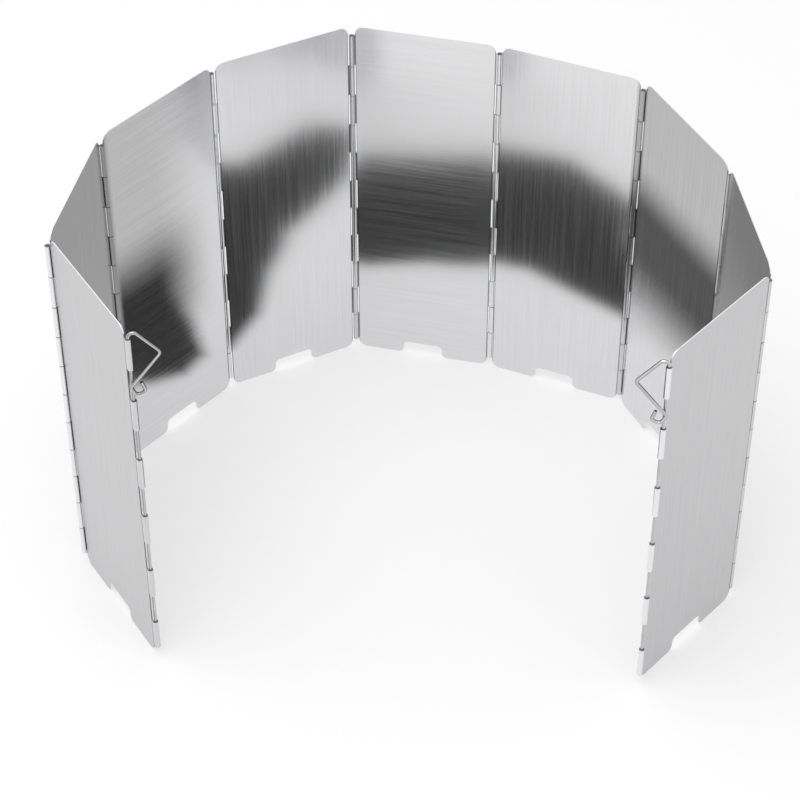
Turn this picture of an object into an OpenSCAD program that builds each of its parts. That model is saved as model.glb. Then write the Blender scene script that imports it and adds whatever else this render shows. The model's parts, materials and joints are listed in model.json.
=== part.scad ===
// Folding stove windscreen: sheet panels hinged on wire pins, with a wire stake at each free edge.
// Millimetres. +Z is up, the floor is z = 0, and the open side of the ring faces -Y.
// Panels and hinges are counted from the left free edge, seen from the open side.

/* [Panels] */
// Height of each panel
panel_height = 240; // [200:5:280]
// Distance between a panel's two hinge axes, along the sheet
hinge_pitch = 84; // [74:1:96]
// Thickness of the sheet
sheet_thickness = 0.6; // [0.4:0.05:0.9]
// Radius of the panel's corners
corner_radius = 5; // [2:0.5:8]

/* [Vent notch] */
// Width of the notch in the middle of each bottom edge
notch_width = 24; // [16:1:36]
// Height of the notch
notch_height = 8.5; // [7:0.5:16]
// Radius of the notch's two upper corners
notch_fillet = 3; // [1:0.25:4]
// Radius of the two corners at the notch's mouth
notch_mouth_radius = 3.5; // [1:0.25:4]

/* [Hinges] */
// Diameter of the wire that the hinge pins and the stakes are made of
wire_diameter = 1.8; // [1.4:0.1:2.4]
// Radial clearance between a wire and the knuckles that it turns in
running_clearance = 0.05; // [0.02:0.01:0.1]
// Knuckle places along a hinge, an odd number that both panels share in turn
knuckle_count = 11; // [7:2:13]
// Gap between one knuckle and the next
knuckle_gap = 0.4; // [0.3:0.1:1]
// Distance from the panel's top or bottom edge to the end knuckle
knuckle_margin = 6; // [5:0.5:9]
// Gap between a knuckle and the straight edge of the panel beside it
edge_gap = 0.4; // [0.3:0.05:1.5]
// Distance by which a knuckle's roll is set back through the plane of its sheet
roll_setback = 0.3; // [0:0.05:0.3]
// Open slit where the rolled end of a knuckle comes back to the sheet
roll_slit = 0.25; // [0.15:0.05:0.4]
// Depth of a wire's end inside the end knuckle
wire_recess = 1.5; // [0.5:0.25:3]

/* [Stakes] */
// Reach of the triangular handle from the stake's axis
handle_reach = 15; // [14:0.5:20]
// Height of the handle's upper corner over the top knuckle, before the corner is rounded
handle_rise = 8; // [7.5:0.5:9]
// Radius of the bends at the handle's corners
handle_bend_radius = 2.5; // [2:0.25:2.75]
// Gap between the stake and the handle's end where it passes in front of it
catch_gap = 0.3; // [0.2:0.1:0.8]
// Distance that the handle's end passes the stake's axis
catch_reach = 1; // [0.5:0.25:1.5]
// Radius of the bend where the handle's end turns back
catch_bend_radius = 1.5; // [1.25:0.25:2]
// Length of the leg that runs down from the catch to the curl
curl_leg = 6; // [5:0.5:8]
// Radius of the curl
curl_bend_radius = 2.25; // [2:0.25:3]
// Length of the straight tip after the curl
curl_tip = 4; // [2:0.5:4.5]

/* [Standing pose] */
// Heading of the middle panel, anticlockwise from +X
middle_heading = -13; // [-20:1:20]
// Angle by which each hinge is closed from flat, towards the inside of the ring
hinge_angles = [45, 29, 22, 39, 9, 40, 19, 51]; // [0:1:60]
// Angle of the left handle from its panel's plane, towards the inside of the ring
left_handle_angle = 70; // [0:1:120]
// Angle of the right handle from its panel's plane, towards the inside of the ring
right_handle_angle = 55; // [0:1:57]

/* [Hidden] */
$fn = 64;
panel_count = len(hinge_angles) + 1;
middle_panel = (panel_count + 1) / 2;

wire_r = wire_diameter / 2;
bore_r = wire_r + running_clearance;
barrel_r = bore_r + sheet_thickness;
// From the middle of the sheet to a hinge axis, and from a hinge axis to the panel's straight edge
axis_offset = barrel_r - sheet_thickness / 2 - roll_setback;
edge_inset = barrel_r + edge_gap;
flat_width = hinge_pitch - 2 * edge_inset;
knuckle_pitch = (panel_height - 2 * knuckle_margin + knuckle_gap) / knuckle_count;
knuckle_length = knuckle_pitch - knuckle_gap;
wire_bottom = knuckle_margin + wire_recess;
pin_length = panel_height - 2 * wire_bottom;
pin_chamfer = wire_r / 4;
// Length by which a tool or a tab runs past the edge that it meets
overlap = 1;
// Bent wire is this much fatter than straight wire, and each straight runs this far into its bends
bend_swell = 0.02;
bend_lap = 0.1;
panel_colour = [0.80, 0.81, 0.82];
pin_colour = [0.55, 0.56, 0.58];
stake_colour = [0.68, 0.69, 0.71];

// Layout in plan
function total(list, first, last) = first > last ? 0 : list[first] + total(list, first + 1, last);
function heading(i) =
    middle_heading
    + total(hinge_angles, i - 1, middle_panel - 2)
    - total(hinge_angles, middle_panel - 1, i - 2);
// Side of the sheets on which axis k lies, -1 inside the ring and 1 outside, in turn for a zigzag fold
function axis_side(k) = k % 2 == 0 ? -1 : 1;
function turned(v, a) = [v.x * cos(a) - v.y * sin(a), v.x * sin(a) + v.y * cos(a)];
function step_to(k) = turned([hinge_pitch, (axis_side(k) - axis_side(k - 1)) * axis_offset], heading(k));
function chain(k) = k == 0 ? [0, 0] : chain(k - 1) + step_to(k);
function middle_of(values) = (min(values) + max(values)) / 2;
chain_axes = [for (k = [0 : panel_count]) chain(k)];
ring_middle = [
    middle_of([for (a = chain_axes) a.x]),
    middle_of([for (a = chain_axes) a.y])
];
axes = [for (a = chain_axes) a - ring_middle];

// The stake's wire: x along the handle, y towards the side on which its end passes, z up
top_corner_z = panel_height - knuckle_margin + handle_rise;
catch_z = knuckle_margin + (knuckle_count - 2) * knuckle_pitch + knuckle_length / 2;
handle_middle_z = (top_corner_z + catch_z) / 2;
handle_slope = atan((top_corner_z - handle_middle_z) / handle_reach);
handle_corner = handle_reach + handle_bend_radius * (1 / sin(handle_slope) - 1);
catch_y = wire_diameter + catch_gap;
curl_leg_slope = -62;
curl_turn = 85;
curl_gap = 2 * curl_bend_radius * tan(curl_turn / 2) + overlap;
function in_handle(distance, slope) = [distance * cos(slope), 0, distance * sin(slope)];
catch_point = [-catch_reach, catch_y, catch_z];
curl_start = catch_point + in_handle(curl_leg, curl_leg_slope);
curl_end = curl_start + in_handle(curl_gap, curl_leg_slope + curl_turn);
stake_points = [
    [0, 0, wire_bottom],
    [0, 0, top_corner_z],
    [handle_corner, 0, handle_middle_z],
    catch_point,
    curl_start,
    curl_end,
    curl_end + in_handle(curl_gap / 2 + curl_tip, curl_leg_slope + 2 * curl_turn)
];
stake_bend_radii = [
    0,
    handle_bend_radius,
    handle_bend_radius,
    catch_bend_radius,
    curl_bend_radius,
    curl_bend_radius,
    0
];

module corner_cut(radius) {
    difference() {
        translate([-overlap, -overlap]) square(radius + overlap);
        translate([radius, radius]) circle(radius);
    }
}

module vent_notch() {
    difference() {
        translate([-notch_width / 2, -overlap]) square([notch_width, notch_height + overlap]);
        for (side = [0, 1])
            mirror([side, 0])
                translate([notch_width / 2, notch_height])
                    rotate(180) corner_cut(notch_fillet);
    }
    for (side = [0, 1])
        mirror([side, 0])
            translate([notch_width / 2, 0]) corner_cut(notch_mouth_radius);
}

// The flat sheet, seen from the front with its lower left corner at the origin
module panel_outline() {
    difference() {
        square([flat_width, panel_height]);
        for (x = [0, 1], z = [0, 1])
            translate([x * flat_width, z * panel_height])
                mirror([x, 0]) mirror([0, z]) corner_cut(corner_radius);
        translate([flat_width / 2, 0]) vent_notch();
    }
}

// Section of a knuckle rolled round an axis at the origin, from a sheet that lies below it towards +X
module knuckle_section() {
    tab_low = -axis_offset - sheet_thickness / 2;
    difference() {
        union() {
            circle(barrel_r);
            translate([0, tab_low]) square([edge_inset + overlap, sheet_thickness]);
        }
        circle(bore_r);
        translate([0, tab_low + sheet_thickness]) square([edge_inset, roll_slit]);
    }
}

module knuckle_row(side, first) {
    for (n = [first : 2 : knuckle_count - 1])
        translate([0, side * axis_offset, knuckle_margin + n * knuckle_pitch])
            mirror([0, side < 0 ? 1 : 0, 0])
                linear_extrude(knuckle_length) knuckle_section();
}

module straight_wire(from, to) {
    along = to - from;
    translate(from)
        rotate([0, acos(along.z / norm(along)), atan2(along.y, along.x)])
            cylinder(r = wire_r, h = norm(along));
}

// A bend that starts at a point in one direction and turns through an angle towards another
module bent_wire(start, incoming, outgoing, radius, angle) {
    inward = (outgoing - (outgoing * incoming) * incoming) / sin(angle);
    middle = start + radius * inward;
    normal = cross(-inward, incoming);
    multmatrix([
        [-inward.x, incoming.x, normal.x, middle.x],
        [-inward.y, incoming.y, normal.y, middle.y],
        [-inward.z, incoming.z, normal.z, middle.z],
        [0, 0, 0, 1]
    ])
        rotate_extrude(angle = angle) translate([radius, 0]) circle(wire_r + bend_swell);
}

module wire_along(points, radii) {
    last = len(points) - 1;
    runs = [for (i = [1 : last]) points[i] - points[i - 1]];
    ways = [for (run = runs) run / norm(run)];
    angles = [for (i = [0 : last]) i == 0 || i == last ? 0 : acos(ways[i - 1] * ways[i])];
    trims = [for (i = [0 : last]) radii[i] * tan(angles[i] / 2)];
    laps = [for (i = [0 : last]) i == 0 || i == last ? 0 : trims[i] - bend_lap];
    for (i = [1 : last])
        straight_wire(points[i - 1] + laps[i - 1] * ways[i - 1], points[i] - laps[i] * ways[i - 1]);
    for (i = [1 : last - 1])
        bent_wire(points[i] - trims[i] * ways[i - 1], ways[i - 1], ways[i], radii[i], angles[i]);
}

module panel(i) {
    first = i % 2 == 1 ? 0 : 1;
    color(panel_colour)
        translate(axes[i - 1])
            rotate(heading(i))
                translate([0, -axis_side(i - 1) * axis_offset]) {
                    translate([edge_inset, 0])
                        rotate([90, 0, 0])
                            linear_extrude(sheet_thickness, center = true) panel_outline();
                    knuckle_row(axis_side(i - 1), first);
                    translate([hinge_pitch, 0]) mirror([1, 0, 0]) knuckle_row(axis_side(i), first);
                }
}

module hinge_pin(k) {
    color(pin_colour)
        translate([axes[k].x, axes[k].y, wire_bottom])
            rotate_extrude()
                polygon([
                    [0, 0],
                    [wire_r - pin_chamfer, 0],
                    [wire_r, pin_chamfer],
                    [wire_r, pin_length - pin_chamfer],
                    [wire_r - pin_chamfer, pin_length],
                    [0, pin_length]
                ]);
}

module left_stake() {
    color(stake_colour)
        translate(axes[0])
            rotate(heading(1) + 180 + left_handle_angle)
                mirror([0, 1, 0]) wire_along(stake_points, stake_bend_radii);
}

module right_stake() {
    color(stake_colour)
        translate(axes[panel_count])
            rotate(heading(panel_count) - right_handle_angle)
                wire_along(stake_points, stake_bend_radii);
}

for (i = [1 : panel_count])
    panel(i);
for (k = [1 : panel_count - 1])
    hinge_pin(k);
left_stake();
right_stake();
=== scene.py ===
"""Looks of a folding stove windscreen: brushed panels with rolled knuckles, wire pins and wire stakes."""
import json
import math

import bmesh
import bpy
from bpy.props import FloatProperty, FloatVectorProperty, IntProperty, PointerProperty
from mathutils import Matrix, Vector

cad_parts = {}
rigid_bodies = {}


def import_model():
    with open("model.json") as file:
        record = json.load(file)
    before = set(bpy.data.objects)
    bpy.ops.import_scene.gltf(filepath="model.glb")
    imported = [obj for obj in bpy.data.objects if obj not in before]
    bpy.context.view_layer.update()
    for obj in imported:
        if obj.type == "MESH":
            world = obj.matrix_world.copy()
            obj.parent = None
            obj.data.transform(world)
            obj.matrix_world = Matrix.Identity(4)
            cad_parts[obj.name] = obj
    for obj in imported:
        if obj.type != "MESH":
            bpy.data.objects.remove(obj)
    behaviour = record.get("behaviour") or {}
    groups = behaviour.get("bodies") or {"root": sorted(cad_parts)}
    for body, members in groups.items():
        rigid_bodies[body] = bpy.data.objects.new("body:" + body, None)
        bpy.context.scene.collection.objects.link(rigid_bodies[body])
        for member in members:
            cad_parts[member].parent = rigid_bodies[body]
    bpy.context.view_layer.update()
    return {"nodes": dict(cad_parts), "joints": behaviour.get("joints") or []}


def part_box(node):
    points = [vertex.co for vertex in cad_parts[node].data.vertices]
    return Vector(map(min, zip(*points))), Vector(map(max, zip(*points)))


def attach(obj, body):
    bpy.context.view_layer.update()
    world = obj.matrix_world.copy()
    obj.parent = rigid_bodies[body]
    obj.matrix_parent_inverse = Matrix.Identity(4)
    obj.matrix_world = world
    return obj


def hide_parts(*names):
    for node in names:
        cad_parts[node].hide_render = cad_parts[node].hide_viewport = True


bl_info = {
    "name": "Folding Stove Windscreen",
    "version": (1, 0, 0),
    "blender": (4, 5, 0),
    "location": "3D View > Sidebar > Windscreen",
    "description": "Builds the panels, hinge pins, stakes and studio stage of a folding stove windscreen",
    "category": "Object",
}

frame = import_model()
MM = 0.001
UP = Vector((0, 0, 1))
PANEL_COUNT = sum(name.startswith("panel_") for name in frame["nodes"])
PANEL_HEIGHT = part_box("panel_1")[1].z
JOINTS = {(joint["parent"], joint["child"]): joint for joint in frame["joints"]}
# Names of the maps and of the values that points carry
GRAIN_UV = "grain"
FLAT_UV = "flat"
AROUND = "around"
SHADE = "shade"
# Distance within which two points are the same, and angle by which a point may lie before its roll
NEAR = 1e-6
ROLL_SLACK = 0.1

# Panels whose grain runs level
CROSS_GRAIN = (3, 5)
# Lowest and highest roughness of each finish, and the roughness of the rolled knuckles
INNER_ROUGHNESS = (0.1, 0.17)
OUTER_ROUGHNESS = (0.3, 0.42)
EDGE_ROUGHNESS = (0.25, 0.5)
PIN_ROUGHNESS = (0.3, 0.5)
STAKE_ROUGHNESS = (0.1, 0.2)
ROLL_ROUGHNESS = 0.22
# Shares of the colour: painted highlight on rolls, painted shade in seams and on edges at a hinge, and the
# metal's own draw marks in the wire
ROLL_PAINTED_HIGHLIGHT = 1.08
SEAM_PAINTED_SHADE = 0.35
HINGE_EDGE_PAINTED_SHADE = 0.3
DRAW_SHADE = 0.4
# Share of bare metal beside the grain's lines and in them
BARE_METAL = (0.99, 0.95)
# Shares of the broad lines in the grain, and of the handling clouds in the gloss
BROAD_SHARE = 0.12
CLOUD_SHARE = 0.5
# Share by which a colour varies over its surface
GRAIN_SPREAD = 0.05
EDGE_SPREAD = 0.12
WEAR_SPREAD = 0.2

# Steps of the rounded corners, bends and rolls, and sides of the wire
CORNER_STEPS = 8
JOGGLE_STEPS = 5
ROLL_STEPS = 24
BEND_STEPS = 12
WIRE_SIDES = 20
# Slope of the curl's leg from level, turn at each of its bends, and the straight between them
CURL_LEG_SLOPE = math.radians(-62)
CURL_TURN = math.radians(85)
CURL_STRAIGHT = 1 * MM

# Half the floor's width, and the softbox
FLOOR_REACH = 30
SOFTBOX_SIZE = (1.6, 1.2)
SOFTBOX_PLACE = (-0.3, -0.2, 1.6)
# Cards that only reflections see: the upright cards' gap, and the floor card's height, soft rim and colour
CARD_GAP = 3 * MM
FLOOR_CARD_HEIGHT = 10 * MM
FLOOR_CARD_RIM = 14 * MM
FLOOR_CARD_COLOUR = (0.012, 0.012, 0.012)
# Their places in millimetres, with fades and steps as shares of the card and tones as light
FLOOR_CARD = (
    (-115, 51), (-108, 75), (-88, 91), (-50, 83), (-17, 62), (7, 53), (18, 47), (49, 44), (88, 39),
    (142, 14), (110, -18), (70, -27), (53, -32), (40, -60), (-37, -64), (-73, -47), (-113, -28),
)
# Painted reflections: glowing cards beside these panels, seen only in reflections, set the panels' tones
PANEL_CARDS = {
    2: {"run": (5, 89), "heights": (60, 240), "tones": (0.4, 0.38), "step": (0.3, 1.0),
        "foot": 0.15, "sides": (0.04, 0.04)},
    3: {"run": (1, 82), "heights": (50, 240), "tones": (0.03, 0.62), "step": (0.32, 0.6),
        "foot": 0.22, "sides": (0.02, 0.62)},
    7: {"run": (-4.5, 82), "heights": (53, 243), "tones": (0.1, 0.62), "step": (0.5, 0.7),
        "foot": 0.36, "sides": (0.04, 0.04)},
    8: {"run": (-3, 80), "heights": (90, 240), "tones": (0.34, 0.22), "step": (0.2, 0.9),
        "foot": 0.2, "sides": (0.04, 0.04)},
}
# Painted reflection: a dark card behind each handle gives the wire dark edges
HANDLE_CARD = {"run": (-0.5, 33), "heights": (176, 240), "tones": (0.02, 0.02), "step": (0.2, 0.9),
               "foot": 0.3, "sides": (0.04, 0.04)}


def axis_between(body, other):
    """Plan position of the hinge between two bodies."""
    joint = JOINTS.get((body, other)) or JOINTS[other, body]
    return Vector(joint["pos_m"][:2])


AXES = [axis_between("panel_1", "left_stake")]
AXES += [axis_between(f"panel_{k}", f"panel_{k + 1}") for k in range(1, PANEL_COUNT)]
AXES += [axis_between(f"panel_{PANEL_COUNT}", "right_stake")]


def size(name, description, default):
    """A length property in metres."""
    return FloatProperty(
        name=name, description=description, default=default, min=0, precision=5, unit="LENGTH"
    )


def turn(name, description, degrees):
    """An angle property."""
    return FloatProperty(name=name, description=description, default=math.radians(degrees), subtype="ANGLE")


def colour(name, description, default):
    """A linear colour property."""
    return FloatVectorProperty(
        name=name, description=description, default=default, size=3, min=0, max=1, subtype="COLOR"
    )


class SheetSettings(bpy.types.PropertyGroup):
    """Sizes and colours of the sheet panels."""

    thickness: size("Thickness", "Thickness of the sheet", 0.6 * MM)
    corner_radius: size("Corner radius", "Radius of a panel's corners", 5 * MM)
    notch_width: size("Notch width", "Width of the vent notch", 24 * MM)
    notch_height: size("Notch height", "Height of the vent notch", 8.5 * MM)
    notch_fillet: size("Notch fillet", "Radius of the notch's upper corners", 3 * MM)
    notch_mouth: size("Notch mouth", "Radius of the corners at the notch's mouth", 3.5 * MM)
    knuckle_count: IntProperty(name="Knuckle places", description="Places along a hinge", default=11, min=3)
    knuckle_gap: size("Knuckle gap", "Gap between one knuckle and the next", 0.4 * MM)
    knuckle_margin: size("Knuckle margin", "Panel edge to end knuckle", 6 * MM)
    edge_gap: size("Edge gap", "Gap between a knuckle and the next panel's edge", 0.4 * MM)
    roll_setback: size("Roll setback", "How far a roll is set back through its sheet's plane", 0.3 * MM)
    joggle_radius: size("Joggle radius", "Radius of the bend that sets a roll back", 1 * MM)
    roll_angle: turn("Roll angle", "Angle through which a knuckle is rolled", 314)
    edge_round: size("Edge rounding", "Rounding of the sheared edges", 0.08 * MM)
    inner_colour: colour("Inner colour", "Colour of the faces inside the ring", (0.75, 0.75, 0.76))
    # Painted shade: the outer faces are given a darker colour than the inner faces of the same sheet
    outer_shaded_colour: colour("Outer colour", "Colour of the faces outside the ring", (0.59, 0.59, 0.6))
    edge_colour: colour("Edge colour", "Colour of the sheared edges", (0.86, 0.86, 0.87))


class WireSettings(bpy.types.PropertyGroup):
    """Sizes and colours of the hinge pins and stakes."""

    diameter: size("Diameter", "Diameter of the wire", 1.8 * MM)
    clearance: size("Clearance", "Radial clearance in the knuckles", 0.05 * MM)
    recess: size("Recess", "Depth of the wire's end in the end knuckle", 1.5 * MM)
    handle_reach: size("Handle reach", "Reach of the handle from the stake", 15 * MM)
    handle_rise: size("Handle rise", "Height of the upper corner over the top knuckle", 8 * MM)
    handle_bend: size("Handle bend", "Radius of the handle's bends", 2.5 * MM)
    catch_gap: size("Catch gap", "Gap between the stake and the handle's end", 0.3 * MM)
    catch_reach: size("Catch reach", "How far the handle's end passes the stake", 1 * MM)
    catch_bend: size("Catch bend", "Radius where the handle's end turns back", 1.5 * MM)
    curl_leg: size("Curl leg", "Length of the leg from the catch to the curl", 6 * MM)
    curl_bend: size("Curl bend", "Radius of the curl", 2.25 * MM)
    curl_tip: size("Curl tip", "Length of the straight tip", 4 * MM)
    left_turn: turn("Left handle", "Direction of the left handle from +X", 12)
    right_turn: turn("Right handle", "Direction of the right handle from +X", 173)
    stake_colour: colour("Stake colour", "Colour of the stakes' bright wire", (0.74, 0.74, 0.75))
    pin_colour: colour("Pin colour", "Colour of the hinge pins", (0.42, 0.42, 0.43))


class StageSettings(bpy.types.PropertyGroup):
    """Camera, floor and lights."""

    camera_place: FloatVectorProperty(
        name="Camera", description="Place of the camera", default=(-0.0029, -1.0515, 1.0906), size=3,
        unit="LENGTH"
    )
    camera_pitch: turn("Pitch", "Angle below the horizon", 43.8)
    lens: FloatProperty(name="Lens", description="Focal length in millimetres", default=117)
    floor_colour: colour("Floor colour", "Colour of the floor", (0.6, 0.6, 0.6))
    floor_lift: FloatProperty(
        name="Floor lift", description="How far the floor is lifted towards white", default=0.39
    )
    ambient: FloatProperty(name="Ambient", description="Strength of the light from all round", default=0.75)
    softbox_power: FloatProperty(
        name="Softbox", description="Power of the overhead softbox", default=11, unit="POWER"
    )


def barrel_radius():
    """Outer radius of a rolled knuckle."""
    scene = bpy.context.scene
    wire, sheet = scene.windscreen_wire, scene.windscreen_sheet
    return wire.diameter / 2 + wire.clearance + sheet.thickness


def roll_radius():
    """Radius of the middle of the sheet in a rolled knuckle."""
    return barrel_radius() - bpy.context.scene.windscreen_sheet.thickness / 2


def axis_offset():
    """Distance from the middle of a flat sheet to a hinge axis."""
    return roll_radius() - bpy.context.scene.windscreen_sheet.roll_setback


def knuckle_span(place):
    """Lower and upper height of a knuckle place, counted from the bottom."""
    sheet = bpy.context.scene.windscreen_sheet
    pitch = (PANEL_HEIGHT - 2 * sheet.knuckle_margin + sheet.knuckle_gap) / sheet.knuckle_count
    low = sheet.knuckle_margin + place * pitch
    return low, low + pitch - sheet.knuckle_gap


def axis_side(k):
    """-1 where axis k lies inside the ring, 1 where it lies outside."""
    return -1 if k % 2 == 0 else 1


def panel_place(i):
    """Pitch of panel i along the sheet, and the matrix from the panel's own frame to the ring."""
    offset = axis_offset()
    start, end = AXES[i - 1], AXES[i]
    across = (axis_side(i) - axis_side(i - 1)) * offset
    span = end - start
    pitch = math.sqrt(span.length_squared - across ** 2)
    heading = math.atan2(span.y, span.x) - math.atan2(across, pitch)
    place = Matrix.Translation(start.to_3d()) @ Matrix.Rotation(heading, 4, UP)
    return pitch, place @ Matrix.Translation((0, -axis_side(i - 1) * offset, 0))


def new_piece(name, bm, materials):
    """An object at the origin from a finished bmesh."""
    mesh = bpy.data.meshes.new(name)
    bm.to_mesh(mesh)
    bm.free()
    for material in materials:
        mesh.materials.append(material)
    mesh.shade_smooth()
    piece = bpy.data.objects.new(name, mesh)
    bpy.context.scene.collection.objects.link(piece)
    return piece


def add_node(tree, kind, label=None, inputs=None, **settings):
    """Adds a node, sets its properties, and sets or links its inputs."""
    node = tree.nodes.new(kind)
    node.label = label or ""
    for key, value in settings.items():
        setattr(node, key, value)
    for key, value in (inputs or {}).items():
        if isinstance(value, bpy.types.NodeSocket):
            tree.links.new(value, node.inputs[key])
        else:
            node.inputs[key].default_value = value
    return node


def new_group(name, inputs, outputs):
    """An empty shader node group with named sockets."""
    tree = bpy.data.node_groups.new(name, "ShaderNodeTree")
    for socket, (kind, default) in inputs.items():
        made = tree.interface.new_socket(socket, in_out="INPUT", socket_type=kind)
        if default is not None:
            made.default_value = default
    for socket, kind in outputs.items():
        tree.interface.new_socket(socket, in_out="OUTPUT", socket_type=kind)
    return tree, tree.nodes.new("NodeGroupInput").outputs, tree.nodes.new("NodeGroupOutput").inputs


def blended(tree, share, first, second, label):
    """A mix of two values, by the share of the second."""
    mix = add_node(tree, "ShaderNodeMix", label, {0: share, 2: first, 3: second}, data_type="FLOAT")
    return mix.outputs[0]


def grain_group():
    """Fine lines that run along the second coordinate, as a tone and a height."""
    if "Grain lines" in bpy.data.node_groups:
        return bpy.data.node_groups["Grain lines"]
    number = "NodeSocketFloat"
    tree, source, result = new_group(
        "Grain lines",
        {"Vector": ("NodeSocketVector", None), "Lines per metre": (number, 1250.0),
         "Stretch": (number, 100.0)},
        {"Tone": number, "Height": number},
    )
    run = add_node(tree, "ShaderNodeMath", "Along the grain",
                   {0: source["Lines per metre"], 1: source["Stretch"]}, operation="DIVIDE")
    scale = add_node(tree, "ShaderNodeCombineXYZ", None,
                     {"X": source["Lines per metre"], "Y": run.outputs[0], "Z": source["Lines per metre"]})
    fine_place = add_node(tree, "ShaderNodeVectorMath", "Fine place",
                          {0: source["Vector"], 1: scale.outputs[0]}, operation="MULTIPLY")
    fine = add_node(tree, "ShaderNodeTexNoise", "Fine lines",
                    {"Vector": fine_place.outputs[0], "Scale": 1.0, "Detail": 3.0, "Roughness": 0.6})
    broad = add_node(tree, "ShaderNodeTexNoise", "Broad lines",
                     {"Vector": fine_place.outputs[0], "Scale": 0.16, "Detail": 2.0, "Roughness": 0.5})
    both = blended(tree, BROAD_SHARE, fine.outputs["Fac"], broad.outputs["Fac"], "Both")
    tone = add_node(tree, "ShaderNodeMapRange", "Tone", {"Value": both, "From Min": 0.36, "From Max": 0.64})
    tree.links.new(tone.outputs["Result"], result["Tone"])
    tree.links.new(broad.outputs["Fac"], result["Height"])
    return tree


def cloud_group():
    """Soft clouds of handling on a bare metal face, and the slow waves of a sheet that isn't quite flat."""
    if "Handling clouds" in bpy.data.node_groups:
        return bpy.data.node_groups["Handling clouds"]
    number = "NodeSocketFloat"
    tree, source, result = new_group(
        "Handling clouds",
        {"Vector": ("NodeSocketVector", None), "Size": (number, 14.0)},
        {"Cloud": number, "Wave": number},
    )
    cloud = add_node(tree, "ShaderNodeTexNoise", "Clouds",
                     {"Vector": source["Vector"], "Scale": source["Size"], "Detail": 4.0, "Roughness": 0.55})
    wave_size = add_node(tree, "ShaderNodeMath", "Wave size", {0: source["Size"], 1: 0.6},
                         operation="MULTIPLY")
    wave = add_node(tree, "ShaderNodeTexNoise", "Waves",
                    {"Vector": source["Vector"], "Scale": wave_size.outputs[0], "Detail": 0.0})
    tree.links.new(cloud.outputs["Fac"], result["Cloud"])
    tree.links.new(wave.outputs["Fac"], result["Wave"])
    return tree


def seam_group():
    """Painted shade: a dark line where a sheet's upright edge meets its knuckles, from the map of the
    unrolled sheet, and a mask of the knuckles.
    """
    if "Hinge masks and painted seam shade" in bpy.data.node_groups:
        return bpy.data.node_groups["Hinge masks and painted seam shade"]
    number = "NodeSocketFloat"
    tree, source, result = new_group(
        "Hinge masks and painted seam shade",
        {"Vector": ("NodeSocketVector", None), "Middle": (number, 42 * MM), "Reach": (number, 40 * MM),
         "Width": (number, 0.25 * MM)},
        {"Seam": number, "Hinge": number},
    )
    run = add_node(tree, "ShaderNodeSeparateXYZ", "Run", {0: source["Vector"]})
    centred = add_node(tree, "ShaderNodeMath", "From the middle", {0: run.outputs["X"], 1: source["Middle"]},
                       operation="SUBTRACT")
    out = add_node(tree, "ShaderNodeMath", "Either way", {0: centred.outputs[0]}, operation="ABSOLUTE")
    past = add_node(tree, "ShaderNodeMath", "Past the edge", {0: out.outputs[0], 1: source["Reach"]},
                    operation="SUBTRACT")
    away = add_node(tree, "ShaderNodeMath", "From the edge", {0: past.outputs[0]}, operation="ABSOLUTE")
    wide = add_node(tree, "ShaderNodeMath", "Soft width", {0: source["Width"], 1: 2.0}, operation="MULTIPLY")
    seam = add_node(tree, "ShaderNodeMapRange", "Seam",
                    {"Value": away.outputs[0], "From Min": source["Width"], "From Max": wide.outputs[0],
                     "To Min": 1.0, "To Max": 0.0})
    hinge = add_node(tree, "ShaderNodeMath", "At the hinge", {0: past.outputs[0], 1: -0.1 * MM},
                     operation="GREATER_THAN")
    tree.links.new(seam.outputs["Result"], result["Seam"])
    tree.links.new(hinge.outputs[0], result["Hinge"])
    return tree


def add_seam(tree):
    """Places the seam group on the map of the unrolled sheet."""
    sheet = bpy.context.scene.windscreen_sheet
    pitch = panel_place(1)[0]
    flat = add_node(tree, "ShaderNodeUVMap", "Unrolled sheet", uv_map=FLAT_UV).outputs["UV"]
    seam = add_node(tree, "ShaderNodeGroup", "Seam", node_tree=seam_group())
    tree.links.new(flat, seam.inputs["Vector"])
    seam.inputs["Middle"].default_value = pitch / 2
    seam.inputs["Reach"].default_value = pitch / 2 - barrel_radius() - sheet.edge_gap
    return seam.outputs


def shaded(tree, base, mask, shade, label):
    """A colour that goes to a share of itself where a mask is 1."""
    share = span_of(tree, mask, 1.0, shade, label)
    return add_node(tree, "ShaderNodeMix", label, {0: 1.0, 6: base, 7: share},
                    data_type="RGBA", blend_type="MULTIPLY").outputs[2]


def new_material(name):
    """A node material with one Principled shader."""
    material = bpy.data.materials.new(name)
    material.use_nodes = True
    tree = material.node_tree
    return material, tree, tree.nodes["Principled BSDF"]


def span_of(tree, value, low, high, label):
    """A value from 0 to 1 spread between two numbers."""
    spread = add_node(tree, "ShaderNodeMapRange", label, {"Value": value, "To Min": low, "To Max": high})
    return spread.outputs["Result"]


def bumped(tree, height, label, strength, depth, below=None):
    """A normal raised by a height, over another normal where one is given."""
    inputs = {"Strength": strength, "Distance": depth, "Height": height}
    if below is not None:
        inputs["Normal"] = below
    return add_node(tree, "ShaderNodeBump", label, inputs).outputs[0]


def toned(tree, tone, base, spread, label):
    """A colour that varies by a share of itself with a tone from 0 to 1."""
    low = [c * (1 - spread) for c in base] + [1]
    high = [min(1, c * (1 + spread)) for c in base] + [1]
    mix = add_node(tree, "ShaderNodeMix", label, {0: tone}, data_type="RGBA")
    mix.inputs[6].default_value = low
    mix.inputs[7].default_value = high
    return mix.outputs[2]


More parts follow.
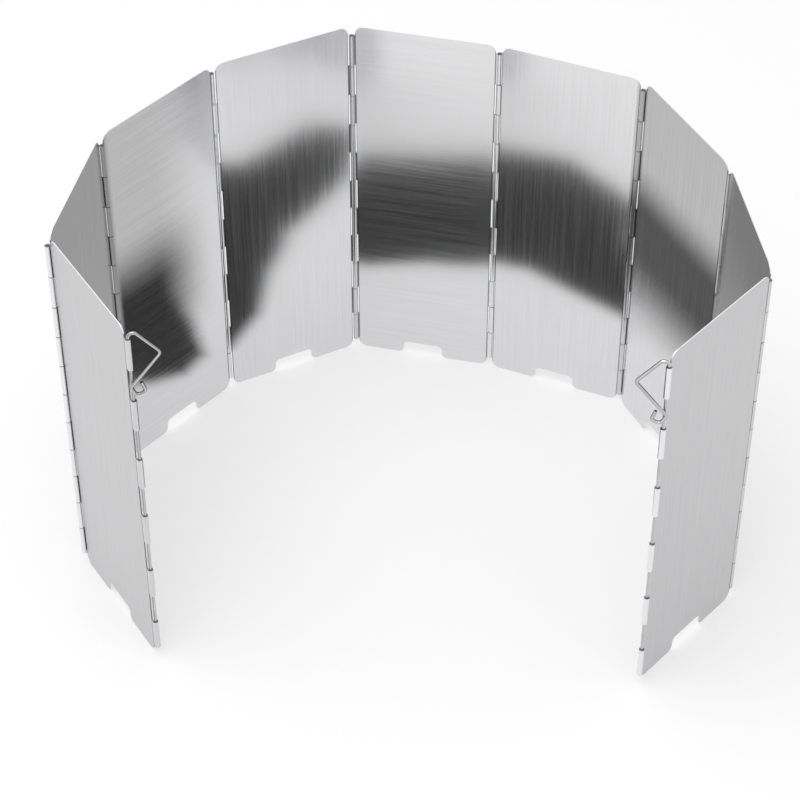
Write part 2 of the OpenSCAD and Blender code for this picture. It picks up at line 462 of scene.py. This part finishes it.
def brushed_sheet(name, base, roughness):
    """Brushed aluminium: lines along the grain, clouds of handling, slow waves, and a stretched gloss."""
    material, tree, shader = new_material(name)
    grain_place = add_node(tree, "ShaderNodeUVMap", "Grain place", uv_map=GRAIN_UV).outputs["UV"]
    body_place = add_node(tree, "ShaderNodeTexCoord", "Body place").outputs["Object"]
    grain = add_node(tree, "ShaderNodeGroup", "Grain", node_tree=grain_group())
    tree.links.new(grain_place, grain.inputs["Vector"])
    clouds = add_node(tree, "ShaderNodeGroup", "Clouds", node_tree=cloud_group())
    tree.links.new(body_place, clouds.inputs["Vector"])
    metal = toned(tree, grain.outputs["Tone"], base, GRAIN_SPREAD, "Grain colour")
    hinge = add_seam(tree)
    # Painted highlight: the rolled knuckles are lightened in the colour
    bright = shaded(tree, metal, hinge["Hinge"], ROLL_PAINTED_HIGHLIGHT, "Painted highlight on rolls")
    # Painted shade: the line where the sheet meets its knuckles is darkened in the colour
    tree.links.new(shaded(tree, bright, hinge["Seam"], SEAM_PAINTED_SHADE, "Seam"), shader.inputs["Base Color"])
    blend = blended(tree, CLOUD_SHARE, grain.outputs["Tone"], clouds.outputs["Cloud"], "Gloss")
    gloss = span_of(tree, blend, *roughness, "Roughness")
    rolled = blended(tree, hinge["Hinge"], gloss, ROLL_ROUGHNESS, "Rolls")
    tree.links.new(rolled, shader.inputs["Roughness"])
    bare = span_of(tree, grain.outputs["Tone"], *BARE_METAL, "Bare lines")
    tree.links.new(bare, shader.inputs["Metallic"])
    shader.inputs["Anisotropic"].default_value = 0.3
    tangent = add_node(tree, "ShaderNodeTangent", "Across the grain",
                       direction_type="UV_MAP", uv_map=GRAIN_UV)
    tree.links.new(tangent.outputs[0], shader.inputs["Tangent"])
    lines = bumped(tree, grain.outputs["Height"], "Lines", strength=0.12, depth=0.02 * MM)
    waves = bumped(tree, clouds.outputs["Wave"], "Waves", strength=1.0, depth=1.5 * MM, below=lines)
    tree.links.new(waves, shader.inputs["Normal"])
    return material


def sheared_edge():
    """The bright cut edge of the sheet, with shear marks across its thickness, and painted shade that
    darkens it at the knuckles and slots.
    """
    sheet = bpy.context.scene.windscreen_sheet
    material, tree, shader = new_material("Sheared edge")
    place = add_node(tree, "ShaderNodeTexCoord", "Place").outputs["Object"]
    marks = add_node(tree, "ShaderNodeTexNoise", "Shear marks",
                     {"Vector": place, "Scale": 3000.0, "Detail": 3.0}).outputs["Fac"]
    metal = toned(tree, marks, sheet.edge_colour, EDGE_SPREAD, "Edge colour")
    # Painted shade: the cut edges at the knuckles and slots are darkened in the colour
    edge = shaded(tree, metal, add_seam(tree)["Hinge"], HINGE_EDGE_PAINTED_SHADE, "Painted shade on hinge edges")
    tree.links.new(edge, shader.inputs["Base Color"])
    tree.links.new(span_of(tree, marks, *EDGE_ROUGHNESS, "Roughness"), shader.inputs["Roughness"])
    shader.inputs["Metallic"].default_value = 1.0
    tree.links.new(bumped(tree, marks, "Marks", strength=0.3, depth=0.02 * MM), shader.inputs["Normal"])
    return material


def drawn_wire(name, base, roughness, around=None):
    """Drawn wire: lines along it, upright or round the wire's own section, wear, and a bright gloss."""
    material, tree, shader = new_material(name)
    place = add_node(tree, "ShaderNodeTexCoord", "Place").outputs["Object"]
    if around:
        lines = add_node(tree, "ShaderNodeAttribute", "Round the wire",
                         attribute_name=around).outputs["Vector"]
    else:
        lines = add_node(tree, "ShaderNodeMapping", "Lines along the wire",
                         {"Vector": place, "Rotation": (math.radians(90), 0, 0)}).outputs[0]
    grain = add_node(tree, "ShaderNodeGroup", "Draw lines", node_tree=grain_group())
    grain.inputs["Lines per metre"].default_value = 1200.0
    grain.inputs["Stretch"].default_value = 30.0
    tree.links.new(lines, grain.inputs["Vector"])
    clouds = add_node(tree, "ShaderNodeGroup", "Wear", node_tree=cloud_group())
    clouds.inputs["Size"].default_value = 160.0
    tree.links.new(place, clouds.inputs["Vector"])
    worn = toned(tree, clouds.outputs["Cloud"], base, WEAR_SPREAD, "Wire colour")
    lined = shaded(tree, worn, grain.outputs["Tone"], DRAW_SHADE, "Draw marks")
    tree.links.new(lined, shader.inputs["Base Color"])
    blend = blended(tree, CLOUD_SHARE, grain.outputs["Tone"], clouds.outputs["Cloud"], "Gloss")
    tree.links.new(span_of(tree, blend, *roughness, "Roughness"), shader.inputs["Roughness"])
    shader.inputs["Metallic"].default_value = 1.0
    drawn = bumped(tree, grain.outputs["Height"], "Lines", strength=0.15, depth=0.02 * MM)
    tree.links.new(drawn, shader.inputs["Normal"])
    return material


def flat_blank(bm, pitch):
    """The flat sheet before rolling, a notched plate with rounded corners. Gives its upright edges."""
    sheet = bpy.context.scene.windscreen_sheet
    edge = barrel_radius() + sheet.edge_gap
    left, right, middle = edge, pitch - edge, pitch / 2
    notch_left, notch_right = middle - sheet.notch_width / 2, middle + sheet.notch_width / 2
    outline = [
        (left, 0), (notch_left, 0), (notch_left, sheet.notch_height), (notch_right, sheet.notch_height),
        (notch_right, 0), (right, 0), (right, PANEL_HEIGHT), (left, PANEL_HEIGHT),
    ]
    corners = [bm.verts.new((x, 0, z)) for x, z in outline]
    bm.faces.new(corners)
    for chosen, radius in (
        ((0, 5, 6, 7), sheet.corner_radius),
        ((1, 4), sheet.notch_mouth),
        ((2, 3), sheet.notch_fillet),
    ):
        bmesh.ops.bevel(bm, geom=[corners[n] for n in chosen], affect="VERTICES", offset=radius,
                        offset_type="OFFSET", segments=CORNER_STEPS, profile=0.5, material=-1)
    return left, right


def joggle():
    """Angle of the bend before a roll, and the distance from its start to the hinge axis."""
    inner = bpy.context.scene.windscreen_sheet.joggle_radius
    angle = math.acos((axis_offset() + inner) / (roll_radius() + inner))
    return angle, (roll_radius() + inner) * math.sin(angle)


def edges_of(geometry):
    """The edges in a list of mesh elements."""
    return [e for e in geometry if isinstance(e, bmesh.types.BMEdge)]


def verts_of(geometry):
    """The vertices in a list of mesh elements."""
    return [v for v in geometry if isinstance(v, bmesh.types.BMVert)]


def tab_roots(bm, edge_x, first):
    """Cuts an upright edge at its knuckles' ends and gives the edges that carry a knuckle."""
    spans = [knuckle_span(n) for n in range(first, bpy.context.scene.windscreen_sheet.knuckle_count, 2)]
    for height in [z for span in spans for z in span]:
        everything = bm.verts[:] + bm.edges[:] + bm.faces[:]
        bmesh.ops.bisect_plane(bm, geom=everything, plane_co=(0, 0, height), plane_no=UP, dist=NEAR / 10)
    roots = []
    for e in bm.edges:
        low, high = sorted(v.co.z for v in e.verts)
        on_edge = all(abs(v.co.x - edge_x) < NEAR for v in e.verts)
        if on_edge and any(low > a - NEAR and high < b + NEAR for a, b in spans):
            roots.append(e)
    return roots


def roll_knuckles(bm, edge_x, axis_x, side, first):
    """Draws tabs out of one upright edge of the blank, sets them back and rolls them round the axis."""
    sheet = bpy.context.scene.windscreen_sheet
    toward = 1 if axis_x > edge_x else -1
    angle, reach = joggle()
    start_x = axis_x - toward * reach
    drawn = bmesh.ops.extrude_edge_only(bm, edges=tab_roots(bm, edge_x, first))["geom"]
    tips = verts_of(drawn)
    bmesh.ops.translate(bm, verts=tips, vec=(start_x - edge_x, 0, 0))
    tip_edges = [e for e in edges_of(drawn) if all(v in tips for v in e.verts)]
    set_back = bmesh.ops.spin(
        bm, geom=tips + tip_edges, cent=(start_x, -side * sheet.joggle_radius, 0), axis=UP,
        angle=-toward * side * angle, steps=JOGGLE_STEPS
    )["geom_last"]
    bmesh.ops.spin(bm, geom=set_back, cent=(axis_x, side * axis_offset(), 0), axis=UP,
                   angle=toward * side * sheet.roll_angle, steps=ROLL_STEPS)


def sheet_run(place, pitch, sides):
    """Distance along the unrolled sheet from the first hinge axis."""
    angle, reach = joggle()
    for axis_x, toward, side in ((0, -1, sides[0]), (pitch, 1, sides[1])):
        across, out = (place.x - axis_x) * toward, place.y * side - axis_offset()
        if across > -roll_radius() * math.sin(angle) - NEAR:
            rolled = math.atan2(out, across) + math.pi / 2 + angle
            rolled = (rolled + ROLL_SLACK) % math.tau - ROLL_SLACK
            return axis_x + toward * roll_radius() * (rolled - math.sin(angle))
    return place.x


def lay_maps(bm, pitch, sides, upright):
    """Two maps in metres: one across and along the grain, one along the unrolled sheet and up."""
    grain = bm.loops.layers.uv.new(GRAIN_UV)
    flat = bm.loops.layers.uv.new(FLAT_UV)
    for face in bm.faces:
        for loop in face.loops:
            run, height = sheet_run(loop.vert.co, pitch, sides), loop.vert.co.z
            loop[grain].uv = (run, height) if upright else (height, run)
            loop[flat].uv = (run, height)


def build_panel(i, materials):
    """One panel: its blank with both rows of knuckles rolled, thickened and eased at the edges."""
    sheet = bpy.context.scene.windscreen_sheet
    pitch, place = panel_place(i)
    first = 0 if i % 2 else 1
    bm = bmesh.new()
    left, right = flat_blank(bm, pitch)
    roll_knuckles(bm, left, 0, axis_side(i - 1), first)
    roll_knuckles(bm, right, pitch, axis_side(i), first)
    bmesh.ops.recalc_face_normals(bm, faces=bm.faces)
    if max(bm.faces, key=lambda face: face.calc_area()).normal.y > 0:
        bmesh.ops.reverse_faces(bm, faces=bm.faces)
    lay_maps(bm, pitch, (axis_side(i - 1), axis_side(i)), i not in CROSS_GRAIN)
    bmesh.ops.transform(bm, matrix=place, verts=bm.verts)
    piece = new_piece(f"sheet_panel_{i}", bm, materials)
    solid = piece.modifiers.new("Sheet", "SOLIDIFY")
    solid.thickness = sheet.thickness
    solid.offset = 0
    solid.use_even_offset = True
    solid.material_offset_rim = 1
    solid.material_offset = 2
    ease = piece.modifiers.new("Eased edges", "BEVEL")
    ease.width = sheet.edge_round
    ease.segments = 2
    ease.limit_method = "ANGLE"
    ease.angle_limit = math.radians(50)
    piece.modifiers.new("Flat faces", "WEIGHTED_NORMAL")
    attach(piece, f"panel_{i}")
    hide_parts(f"panel_{i}")
    return piece


class WINDSCREEN_OT_panels(bpy.types.Operator):
    """Build the sheet panels with their rolled knuckles"""

    bl_idname = "windscreen.panels"
    bl_label = "Sheet Panels"

    def execute(self, context):
        sheet = context.scene.windscreen_sheet
        materials = [
            brushed_sheet("Brushed inner face", sheet.inner_colour, INNER_ROUGHNESS),
            sheared_edge(),
            brushed_sheet("Brushed outer face", sheet.outer_shaded_colour, OUTER_ROUGHNESS),
        ]
        for i in range(1, PANEL_COUNT + 1):
            build_panel(i, materials)
        return {"FINISHED"}


class WINDSCREEN_OT_pins(bpy.types.Operator):
    """Give the hinge pins their drawn-wire finish"""

    bl_idname = "windscreen.pins"
    bl_label = "Hinge Pins"

    def execute(self, context):
        material = drawn_wire("Pin wire", context.scene.windscreen_wire.pin_colour, PIN_ROUGHNESS)
        for k in range(1, PANEL_COUNT):
            pin = frame["nodes"][f"hinge_pin_{k}"]
            pin.data.materials.clear()
            pin.data.materials.append(material)
        return {"FINISHED"}


def stake_places(wire):
    """Each stake's node, the matrix of its handle's frame, and the side on which its catch lies."""
    for node, axis, heading, side in (
        ("left_stake", AXES[0], wire.left_turn, -1),
        ("right_stake", AXES[-1], wire.right_turn, 1),
    ):
        yield node, Matrix.Translation(axis.to_3d()) @ Matrix.Rotation(heading, 4, UP), side


def stake_route(wire, side):
    """Corner points of a stake's wire with their bend radii: x along the handle, z up."""
    sheet = bpy.context.scene.windscreen_sheet
    knuckles = sheet.knuckle_count
    bottom = sheet.knuckle_margin + wire.recess
    top = PANEL_HEIGHT - sheet.knuckle_margin + wire.handle_rise
    catch_height = sum(knuckle_span(knuckles - 2)) / 2
    middle = (top + catch_height) / 2
    slope = math.atan2(top - middle, wire.handle_reach)
    apex = wire.handle_reach + wire.handle_bend * (1 / math.sin(slope) - 1)
    catch = Vector((-wire.catch_reach, side * (wire.diameter + wire.catch_gap), catch_height))
    across = 2 * wire.curl_bend * math.tan(CURL_TURN / 2) + CURL_STRAIGHT

    def along(distance, angle):
        return Vector((distance * math.cos(angle), 0, distance * math.sin(angle)))

    curl_start = catch + along(wire.curl_leg, CURL_LEG_SLOPE)
    curl_end = curl_start + along(across, CURL_LEG_SLOPE + CURL_TURN)
    return [
        (Vector((0, 0, bottom)), 0),
        (Vector((0, 0, top)), wire.handle_bend),
        (Vector((apex, 0, middle)), wire.handle_bend),
        (catch, wire.catch_bend),
        (curl_start, wire.curl_bend),
        (curl_end, wire.curl_bend),
        (curl_end + along(across / 2 + wire.curl_tip, CURL_LEG_SLOPE + 2 * CURL_TURN), 0),
    ]


def sweep_wire(bm, route, radius):
    """A round wire along a route that starts upright: drawn out on the straights, spun round the bends."""
    start = route[0][0]
    around = bm.verts.layers.float_vector.new(AROUND)
    made = bmesh.ops.create_circle(
        bm, cap_ends=True, segments=WIRE_SIDES, radius=radius, matrix=Matrix.Translation(start)
    )
    for v in made["verts"]:
        v[around] = (v.co.x - start.x, 0, v.co.y - start.y)
    ring = list({e for v in made["verts"] for e in v.link_edges})
    trim = 0
    for n in range(1, len(route)):
        point, bend = route[n]
        way = (point - route[n - 1][0]).normalized()
        length = (point - route[n - 1][0]).length - trim
        last = n == len(route) - 1
        if not last:
            onward = (route[n + 1][0] - point).normalized()
            angle = way.angle(onward)
            trim = bend * math.tan(angle / 2)
            length -= trim
        drawn = bmesh.ops.extrude_edge_only(bm, edges=ring)["geom"]
        tips = verts_of(drawn)
        bmesh.ops.translate(bm, verts=tips, vec=way * length)
        ring = [e for e in edges_of(drawn) if all(v in tips for v in e.verts)]
        if last:
            bmesh.ops.contextual_create(bm, geom=ring)
        else:
            axis = way.cross(onward).normalized()
            centre = point - way * trim + axis.cross(way) * bend
            spun = bmesh.ops.spin(
                bm, geom=tips + ring, cent=centre, axis=axis, angle=angle, steps=BEND_STEPS
            )["geom_last"]
            ring = edges_of(spun)
    bmesh.ops.recalc_face_normals(bm, faces=bm.faces)


class WINDSCREEN_OT_stakes(bpy.types.Operator):
    """Build the wire stakes with their triangular handles"""

    bl_idname = "windscreen.stakes"
    bl_label = "Wire Stakes"

    def execute(self, context):
        wire = context.scene.windscreen_wire
        material = drawn_wire("Stake wire", wire.stake_colour, STAKE_ROUGHNESS, AROUND)
        for node, place, side in stake_places(wire):
            bm = bmesh.new()
            sweep_wire(bm, stake_route(wire, side), wire.diameter / 2)
            bmesh.ops.transform(bm, matrix=place, verts=bm.verts)
            piece = new_piece(f"wire_{node}", bm, [material])
            ease = piece.modifiers.new("Eased ends", "BEVEL")
            ease.width = wire.diameter / 8
            ease.segments = 3
            ease.limit_method = "ANGLE"
            ease.angle_limit = math.radians(60)
            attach(piece, node)
            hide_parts(node)
        return {"FINISHED"}


def seen_directly(tree):
    """1 for rays that show the surroundings to the eye: camera, gloss and glass rays."""
    path = add_node(tree, "ShaderNodeLightPath", "Rays")
    first = add_node(tree, "ShaderNodeMath", "Camera or gloss",
                     {0: path.outputs["Is Camera Ray"], 1: path.outputs["Is Glossy Ray"]},
                     operation="MAXIMUM")
    return add_node(tree, "ShaderNodeMath", "Or glass",
                    {0: first.outputs[0], 1: path.outputs["Is Transmission Ray"]},
                    operation="MAXIMUM").outputs[0]


def lay_floor(stage):
    """A wide pale floor."""
    bm = bmesh.new()
    bmesh.ops.create_grid(bm, x_segments=1, y_segments=1, size=FLOOR_REACH)
    material, tree, shader = new_material("Pale floor")
    shader.inputs["Base Color"].default_value = (*stage.floor_colour, 1)
    shader.inputs["Roughness"].default_value = 1.0
    shader.inputs["Specular IOR Level"].default_value = 0.0
    shader.inputs["Emission Color"].default_value = (1, 1, 1, 1)
    lift = span_of(tree, seen_directly(tree), 0.0, stage.floor_lift, "Lift")
    tree.links.new(lift, shader.inputs["Emission Strength"])
    floor = new_piece("floor", bm, [material])


def gloss_only(card):
    """Keeps a card out of everything but reflections."""
    card.visible_camera = card.visible_diffuse = card.visible_transmission = False
    card.visible_shadow = card.visible_volume_scatter = False


def soft_step(tree, value, low, high, label):
    """0 below one number and 1 above another, with a soft step between them."""
    return add_node(tree, "ShaderNodeMapRange", label, {"Value": value, "From Min": low, "From Max": high},
                    interpolation_type="SMOOTHSTEP").outputs["Result"]


def lay_card(corners, height, rim):
    """A dark card with a soft rim, close over the floor, to put a dark band in the sheets' reflections."""
    bm = bmesh.new()
    shade = bm.verts.layers.float.new(SHADE)
    card = bm.faces.new([bm.verts.new((x * MM, y * MM, height)) for x, y in corners])
    card.normal_update()
    bmesh.ops.inset_individual(bm, faces=[card], thickness=rim, use_even_offset=True)
    for v in card.verts:
        v[shade] = 1
    bmesh.ops.recalc_face_normals(bm, faces=bm.faces)
    material, tree, shader = new_material("Dark card")
    shader.inputs["Base Color"].default_value = (*FLOOR_CARD_COLOUR, 1)
    shader.inputs["Roughness"].default_value = 0.8
    inside = add_node(tree, "ShaderNodeAttribute", "Inside the rim", attribute_name=SHADE).outputs["Fac"]
    tree.links.new(soft_step(tree, inside, 0.0, 1.0, "Rim"), shader.inputs["Alpha"])
    gloss_only(new_piece("floor_card", bm, [material]))


def stand_card(name, place, run, heights, tones, step, foot, sides):
    """An upright card, seen only in reflections, that glows with a tone stepping from its foot to its top,
    faded out at its foot and sides: a painted reflection on the sheet or wire beside it.
    """
    bm = bmesh.new()
    (start, end), (low, high), (dark, pale) = run, heights, tones
    corners = [(start, 0, low), (end, 0, low), (end, 0, high), (start, 0, high)]
    face = bm.faces.new([bm.verts.new(place @ (Vector(corner) * MM)) for corner in corners])
    uv = bm.loops.layers.uv.new(FLAT_UV)
    for loop, spot in zip(face.loops, ((0, 0), (1, 0), (1, 1), (0, 1))):
        loop[uv].uv = spot
    material, tree, shader = new_material(f"Soft {name}")
    shader.inputs["Base Color"].default_value = (0, 0, 0, 1)
    shader.inputs["Roughness"].default_value = 1.0
    shader.inputs["Emission Strength"].default_value = 1.0
    spot = add_node(tree, "ShaderNodeSeparateXYZ", "Spot",
                    {0: add_node(tree, "ShaderNodeUVMap", "Card", uv_map=FLAT_UV).outputs["UV"]}).outputs
    tone = add_node(tree, "ShaderNodeMix", "Tone", {0: soft_step(tree, spot["Y"], *step, "Top")},
                    data_type="RGBA")
    tone.inputs[6].default_value = (dark, dark, dark, 1)
    tone.inputs[7].default_value = (pale, pale, pale, 1)
    tree.links.new(tone.outputs[2], shader.inputs["Emission Color"])
    alpha = soft_step(tree, spot["Y"], 0.0, foot, "Foot")
    for label, near, far in (("Start", 0.0, sides[0]), ("End", 1.0, 1.0 - sides[1])):
        fade = soft_step(tree, spot["X"], near, far, label)
        alpha = add_node(tree, "ShaderNodeMath", label, {0: alpha, 1: fade}, operation="MULTIPLY").outputs[0]
    tree.links.new(alpha, shader.inputs["Alpha"])
    gloss_only(new_piece(name, bm, [material]))


def light_stage(stage):
    """White surroundings, and a softbox overhead."""
    scene = bpy.context.scene
    world = bpy.data.worlds.new("White studio")
    scene.world = world
    world.use_nodes = True
    tree = world.node_tree
    background = tree.nodes["Background"]
    background.inputs["Color"].default_value = (1, 1, 1, 1)
    strength = span_of(tree, seen_directly(tree), stage.ambient, 1.0, "Strength")
    tree.links.new(strength, background.inputs["Strength"])
    lamp = bpy.data.lights.new("Softbox", "AREA")
    lamp.shape = "RECTANGLE"
    lamp.size, lamp.size_y = SOFTBOX_SIZE
    lamp.energy = stage.softbox_power
    softbox = bpy.data.objects.new("Softbox", lamp)
    softbox.location = SOFTBOX_PLACE
    softbox.rotation_euler = (-Vector(SOFTBOX_PLACE)).to_track_quat("-Z", "Y").to_euler()
    scene.collection.objects.link(softbox)


def set_camera(stage):
    """The camera at the photograph's viewing angle."""
    scene = bpy.context.scene
    data = bpy.data.cameras.new("Camera")
    data.lens = stage.lens
    data.sensor_width = 36
    data.clip_start, data.clip_end = 0.05, 100
    camera = bpy.data.objects.new("Camera", data)
    camera.location = stage.camera_place
    camera.rotation_euler = (math.radians(90) - stage.camera_pitch, 0, 0)
    scene.collection.objects.link(camera)
    scene.camera = camera


class WINDSCREEN_OT_stage(bpy.types.Operator):
    """Set up the floor, the lights and the camera"""

    bl_idname = "windscreen.stage"
    bl_label = "Studio Stage"

    def execute(self, context):
        stage = context.scene.windscreen_stage
        lay_floor(stage)
        lay_card(FLOOR_CARD, FLOOR_CARD_HEIGHT, FLOOR_CARD_RIM)
        for i, card in PANEL_CARDS.items():
            stand_card(f"panel_card_{i}", panel_place(i)[1] @ Matrix.Translation((0, -CARD_GAP, 0)), **card)
        for node, place, side in stake_places(context.scene.windscreen_wire):
            stand_card(f"{node}_card", place @ Matrix.Translation((0, -side * CARD_GAP, 0)), **HANDLE_CARD)
        light_stage(stage)
        set_camera(stage)
        context.scene.view_settings.view_transform = "Standard"
        return {"FINISHED"}


class WINDSCREEN_PT_sidebar(bpy.types.Panel):
    """Lists the windscreen's settings and builders"""

    bl_idname = "WINDSCREEN_PT_sidebar"
    bl_label = "Stove Windscreen"
    bl_space_type = "VIEW_3D"
    bl_region_type = "UI"
    bl_category = "Windscreen"

    def draw(self, context):
        for operator in OPERATORS:
            self.layout.operator(operator.bl_idname)
        for group in SETTINGS:
            owner = getattr(context.scene, group)
            box = self.layout.box()
            for name in owner.__annotations__:
                box.prop(owner, name)


SETTINGS = {
    "windscreen_sheet": SheetSettings,
    "windscreen_wire": WireSettings,
    "windscreen_stage": StageSettings,
}
OPERATORS = (WINDSCREEN_OT_panels, WINDSCREEN_OT_pins, WINDSCREEN_OT_stakes, WINDSCREEN_OT_stage)


def register():
    for name, group in SETTINGS.items():
        bpy.utils.register_class(group)
        setattr(bpy.types.Scene, name, PointerProperty(type=group))
    for made in (*OPERATORS, WINDSCREEN_PT_sidebar):
        bpy.utils.register_class(made)


def unregister():
    for made in (WINDSCREEN_PT_sidebar, *reversed(OPERATORS)):
        bpy.utils.unregister_class(made)
    for name, group in reversed(SETTINGS.items()):
        delattr(bpy.types.Scene, name)
        bpy.utils.unregister_class(group)


def main():
    register()
    bpy.ops.windscreen.stage()
    bpy.ops.windscreen.panels()
    bpy.ops.windscreen.pins()
    bpy.ops.windscreen.stakes()


if __name__ == "__main__":
    main()
